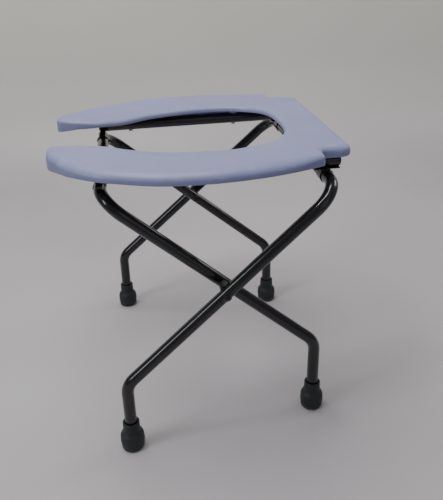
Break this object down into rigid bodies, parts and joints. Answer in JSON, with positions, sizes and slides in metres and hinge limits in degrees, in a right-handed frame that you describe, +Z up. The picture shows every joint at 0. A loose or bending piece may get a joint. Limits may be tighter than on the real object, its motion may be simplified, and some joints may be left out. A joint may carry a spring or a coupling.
{
  "type": "folding commode stool",
  "caption": "Folding commode stool: open-front horseshoe plastic seat on two crossed bent-tube legs with rubber feet; the seat hinges up as the legs fold.",
  "frame": {"origin": "on the floor under the middle of the stool's bounding box", "axes": "+Z up, +Y to the back of the seat (its closed end and rear block), -Y to the open front, +X to the stool's left-hand side seen from the front; the stool is mirror symmetric about X=0"},
  "size_m": [0.456, 0.441, 0.457],
  "materials": {
    "seat_plastic": "satin, fine moulded grain",
    "black_paint": "gloss black enamel",
    "black_plastic": "satin",
    "black_fastener": "semi-gloss black",
    "foot_rubber": "matte moulded rubber",
    "zinc": "zinc plated"
  },
  "bodies": {
    "outer_legs": {"outer_frame": "black_paint", "foot_front_left": "foot_rubber", "foot_front_right": "foot_rubber", "pivot_bolt_left": "black_fastener", "pivot_bolt_right": "black_fastener", "pivot_head_washer_left": "black_fastener", "pivot_head_washer_right": "black_fastener", "pivot_spacer_left": "black_plastic", "pivot_spacer_right": "black_plastic", "pivot_nut_washer_left": "black_fastener", "pivot_nut_washer_right": "black_fastener", "pivot_nut_left": "black_fastener", "pivot_nut_right": "black_fastener"},
    "inner_legs": {"inner_frame": "black_paint", "foot_rear_left": "foot_rubber", "foot_rear_right": "foot_rubber"},
    "seat": {"seat_shell": "seat_plastic", "seat_rail_left": "black_paint", "seat_rail_right": "black_paint", "rail_plug_front_left": "black_plastic", "rail_plug_front_right": "black_plastic", "rail_plug_rear_left": "black_plastic", "rail_plug_rear_right": "black_plastic", "front_hook_left": "black_paint", "front_hook_right": "black_paint", "hinge_saddle_left": "black_paint", "hinge_saddle_right": "black_paint", "saddle_screws_left": "zinc", "saddle_screws_right": "zinc", "seat_screws_left": "zinc", "seat_screws_right": "zinc"}
  },
  "joints": [
    {"name": "frame_fold", "type": "hinge", "parent": "outer_legs", "child": "inner_legs", "pos_m": [0, 0.02194, 0.25987], "axis": [-1, 0, 0], "range_deg": [0, 84]},
    {"name": "seat_lift", "type": "hinge", "parent": "outer_legs", "child": "seat", "pos_m": [0, 0.1865, 0.407], "axis": [-1, 0, 0], "range_deg": [0, 138]}
  ],
  "couplings": [
    {"joint": "seat_lift", "follows": "frame_fold", "ratio": 1.64}
  ]
}
